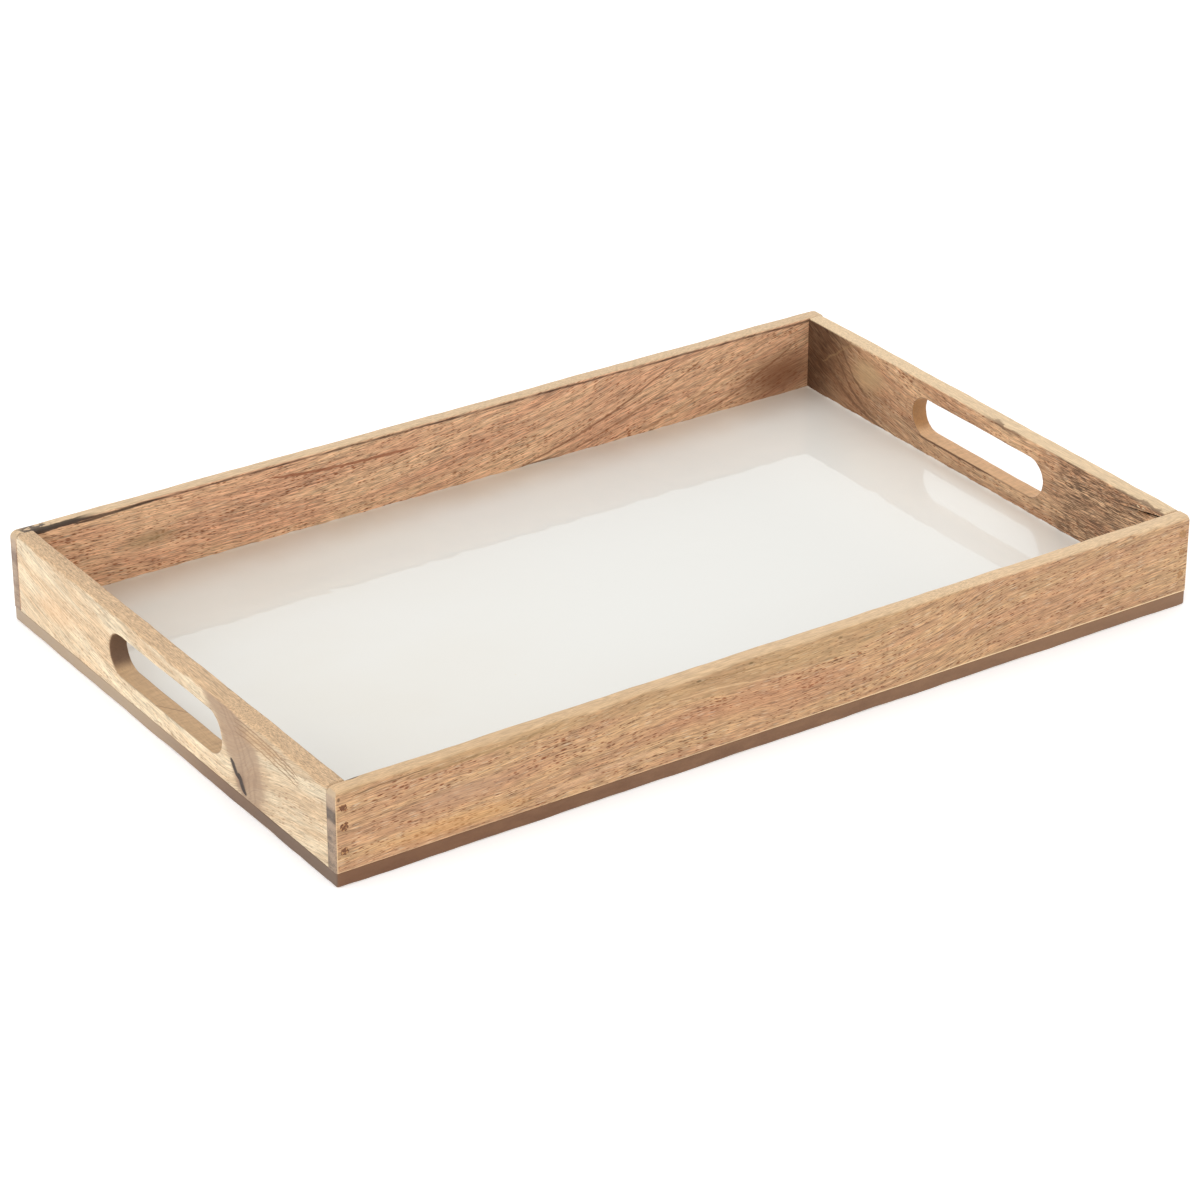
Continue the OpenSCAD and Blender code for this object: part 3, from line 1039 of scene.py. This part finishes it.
def right_wood():
    """Brown wood, with rings round a very dark far corner and a dark near end."""
    wood = Board("right_wood", "y", [(-127, 2), (-20, 0), (60, 10), (127, 34)], 47.9)
    sh = wood.sh
    wood.figure("#a67d5d", "#c09c78", 0.58, 1.0)
    wood.brighten(sh.scale(wood.z, 11, 35, 0.92, 1.13))
    fine = sh.plus(wood.streak, wood.fibre)
    brown = sh.step(sh.plus(wood.y, sh.times(wood.z, -0.5)), 44.0, 84.0)
    wood.paint_face(brown, "#7a5334", 0.5)
    corner = sh.step(sh.plus(wood.y, sh.times(wood.z, 0.5)), 92.0, 126.0)
    corner = sh.times(corner, sh.scale(fine, 0.8, 1.2, 1.0, 0.66))
    wood.paint_face(corner, "#351a08", 0.95)
    wood.paint_face(wood.ellipse((76, 28), (15, 11), 0.8), "#b79a72", 0.6)
    wood.draw([(66, 9), (84, 15), (96, 26), (106, 38)], 1.2, "#50301a", 0.5, 1.0)
    wood.draw([(60, 7), (80, 10), (98, 18), (112, 32)], 1.2, "#50301a", 0.5, 1.0)
    wood.draw([(74, 17), (84, 22), (91, 29), (98, 38)], 1.2, "#50301a", 0.5, 1.0)
    wood.draw([(84, 40), (94, 34), (110, 22)], 0.9, "#a08058", 0.3, 1.6)
    streaky = sh.step(fine, 1.13, 0.87)
    near = sh.times(sh.step(wood.y, -46.0, -62.0), streaky)
    wood.paint_face(near, "#553c2a", 0.76)
    dark = sh.times(wood.ellipse((-74, 31), (30, 7), 0.9), streaky)
    wood.paint_face(dark, "#4a3526", 0.6)
    wood.sanded_top("#dac09b", 0.22, 40.4, 0.8)
    # A dark line under the inner top edge, where that edge is worn at the near end and above the
    # slot
    inner = sh.step(wood.x, 195.4, 194.0)
    edge = sh.plus(wood.z, wood.ragged(6, 3, 0.7, 0.6, 4))
    line = sh.times(sh.band(edge, 38.2, 38.6, 39.3, 39.7), inner)
    worn = sh.plus(sh.step(wood.y, -84.0, -96.0), wood.ellipse((-18, 38), (18, 9), 0.8))
    wood.paint(sh.times(line, worn), "#6b4f3a", 0.7)
    wood.slot_walls("#cea67d", "#a5794c")
    under_slot = [(-14, 13.3), (2, 13.7), (20, 13.5), (43, 13.9)]
    wood.draw(under_slot, 0.6, "#5a3d2a", 0.85, 0.5)
    return wood.finish()


def enamel_material():
    """Thick cream enamel: glossy, with faint ripples and a few pinhead specks."""
    sh = Shader("cream_enamel")
    x, y, _ = sh.position_mm()
    cloud = sh.cloud((x, 90), (y, 60), 0.0, 3)
    colour = sh.mix(sh.scale(cloud, 0.3, 0.7, 0, 1), "#d9d6cd", "#dbdad4")
    colour = sh.tint(colour, sh.step(x, -120.0, 20.0), "#dbdbd6", 0.9)
    colour = sh.tint(colour, sh.step(x, 95.0, 190.0), "#eae8e1", 0.85)
    # Painted shade: darker and browner towards the back wall, and a little towards the front one
    place = sh.plus(y, sh.scale(sh.cloud((x, 25), (y, 25), 2.0, 2), 0, 1, -6, 6))
    back_wall_shade = sh.step(place, 92.0, 126.0)
    front_wall_shade = sh.step(place, -90.0, -126.0)
    edge = sh.math("MAXIMUM", back_wall_shade, sh.times(front_wall_shade, 0.45))
    colour = sh.tint(colour, edge, "#b7a084", 0.6)
    speck = sh.cloud((x, 2.2), (y, 2.2), 4.0, 1)
    colour = sh.tint(colour, sh.step(speck, 0.80, 0.84), "#d9c9a4", 0.3)
    swell = sh.cloud((x, 42), (y, 30), 0.0, 2)
    fine = sh.cloud((x, 11), (y, 9), 0.0, 2)
    height = sh.plus(sh.times(swell, 0.8), sh.times(fine, 0.2))
    return sh.surface(
        colour,
        0.35,
        sh.bump(height, 1.0, 0.12),
        Coat_Weight=1.0,
        Coat_Roughness=0.012,
        Coat_IOR=1.4,
    )


def base_material():
    """Fibreboard: stained brown and sealed on its edge, bare and paler underneath."""
    sh = Shader("stained_fibreboard")
    x, y, z = sh.position_mm()
    cloud = sh.cloud((x, 14), (y, 14), (z, 5), 4, 0.6)
    fibre = sh.cloud((x, 0.9), (y, 0.9), (z, 0.6), 3)
    tone = sh.plus(sh.times(cloud, 0.75), sh.times(fibre, 0.25))
    edge = sh.ramp(tone, [(0.35, "#6a4930"), (0.62, "#7f5d42")])
    under = sh.ramp(tone, [(0.35, "#8a6a4e"), (0.62, "#a3835f")])
    normal = sh.normal()
    left = sh.step(normal[0], -0.5, -0.8)
    # Painted sheen on the left edge, lightest towards the back; towards the front the edge is
    # darker
    edge = sh.tint(edge, sh.times(left, sh.step(y, -70.0, 40.0)), "#a9967f", 0.8)
    edge = sh.tint(edge, sh.times(left, sh.step(y, 0.0, -90.0)), "#5f5044", 0.7)
    front_left = sh.times(sh.step(normal[1], -0.5, -0.8), sh.step(x, 0.0, -200.0))
    edge = sh.tint(edge, front_left, "#6a4429", 0.6)
    edge = sh.tint(edge, sh.step(x, -60.0, 200.0), "#8d6c50", 0.5)
    facing_down = sh.step(normal[2], -0.5, -0.85)
    colour = sh.mix(facing_down, edge, under)
    roughness = sh.scale(cloud, 0.3, 0.7, 0.42, 0.58)
    return sh.surface(colour, roughness, sh.bump(tone, 0.4, 0.05), Specular_IOR_Level=0.4)


def filler_material():
    sh = Shader("red_brown_filler")
    x, y, z = sh.position_mm()
    mottle = sh.cloud((x, 0.9), (y, 0.9), (z, 0.9), 3)
    dark = sh.mix(sh.step(x, 0.0, 100.0), "#6a4023", "#9c744c")
    colour = sh.tint(dark, sh.step(mottle, 0.5, 0.6), "#b98a58", 0.8)
    return sh.surface(colour, 0.7, sh.bump(mottle, 0.6, 0.06))


def steel_material():
    sh = Shader("bright_brad_steel")
    x, y, z = sh.position_mm()
    grime = sh.cloud((x, 0.5), (y, 0.5), (z, 0.5), 3)
    colour = sh.ramp(grime, [(0.3, "#77726b"), (0.65, "#a9a7a2")])
    roughness = sh.scale(grime, 0.3, 0.7, 0.32, 0.55)
    return sh.surface(colour, roughness, sh.bump(grime, 0.3, 0.03), Metallic=1.0)


# ---------------- stage and light

# Half the width of the floor, the brightness all round, and the softbox
STAGE_REACH = 12.0
SURROUND_STRENGTH = 1.12
KEY_PLACE = (-2.2, -0.9, 1.1)
KEY_SIZE = (1.6, 1.4)
KEY_WATTS = 14


def floor_material():
    sh = Shader("studio_floor")
    x, y, _ = sh.position_mm()
    faint = sh.cloud((x, 400), (y, 400), 0.0, 1)
    colour = sh.mix(faint, (0.93, 0.93, 0.93, 1), (0.95, 0.95, 0.95, 1))
    return sh.surface(
        colour, 0.9, Specular_IOR_Level=0.1, Emission_Color=(1, 1, 1, 1), Emission_Strength=0.2
    )


def make_stage():
    """A plain pale floor that reaches far past the view."""
    mesh = bpy.data.meshes.new("studio_floor")
    signs = [(-1, -1), (1, -1), (1, 1), (-1, 1)]
    mesh.from_pydata([(a * STAGE_REACH, b * STAGE_REACH, 0) for a, b in signs], [], [(0, 1, 2, 3)])
    floor = new_object("studio_floor", mesh)
    floor.data.materials.append(floor_material())


def key_softbox():
    """A softbox to the left that looks at the tray."""
    light = bpy.data.lights.new("key_softbox", "AREA")
    light.shape = "RECTANGLE"
    light.size, light.size_y = KEY_SIZE
    light.energy = KEY_WATTS
    made = new_object("key_softbox", light)
    made.location = KEY_PLACE
    made.rotation_euler = (-Vector(KEY_PLACE)).to_track_quat("-Z", "Y").to_euler()


def make_light():
    """Even white light from all round, and one softbox."""
    world = bpy.data.worlds.new("studio")
    bpy.context.scene.world = world
    world.use_nodes = True
    background = world.node_tree.nodes["Background"]
    background.inputs["Color"].default_value = (1.0, 1.0, 1.0, 1)
    background.inputs["Strength"].default_value = SURROUND_STRENGTH
    key_softbox()
    bpy.context.scene.view_settings.view_transform = "Standard"


# ---------------- assembly

make_camera()

front = long_board("front", front_outer_radius, front_inner_radius, 1)
finish_piece(front, "front_board", front_wood())
back = long_board("back", back_outer_radius, back_inner_radius, 2)
finish_piece(back, "back_board", back_wood())
left = handle_board("left", left_outer_radius, left_inner_radius, 3)
finish_piece(left, "left_handle_board", left_wood())
right = handle_board("right", right_outer_radius, right_inner_radius, 4)
finish_piece(right, "right_handle_board", right_wood())
finish_piece(base_board(), "base_board", base_material())
finish_piece(enamel_floor(), "enamel_floor", enamel_material())

filler = filler_material()
for number, (side, end) in enumerate(
    [("front", "left"), ("front", "right"), ("back", "left"), ("back", "right")]
):
    patches = filler_patches(side, end, 60 + number)
    finish_piece(patches, f"{side}_{end}_brad_filler", filler)

steel = steel_material()
for name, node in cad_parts.items():
    if name.endswith("_brads"):
        for material_slot in node.material_slots:
            material_slot.material = steel

make_stage()
make_light()
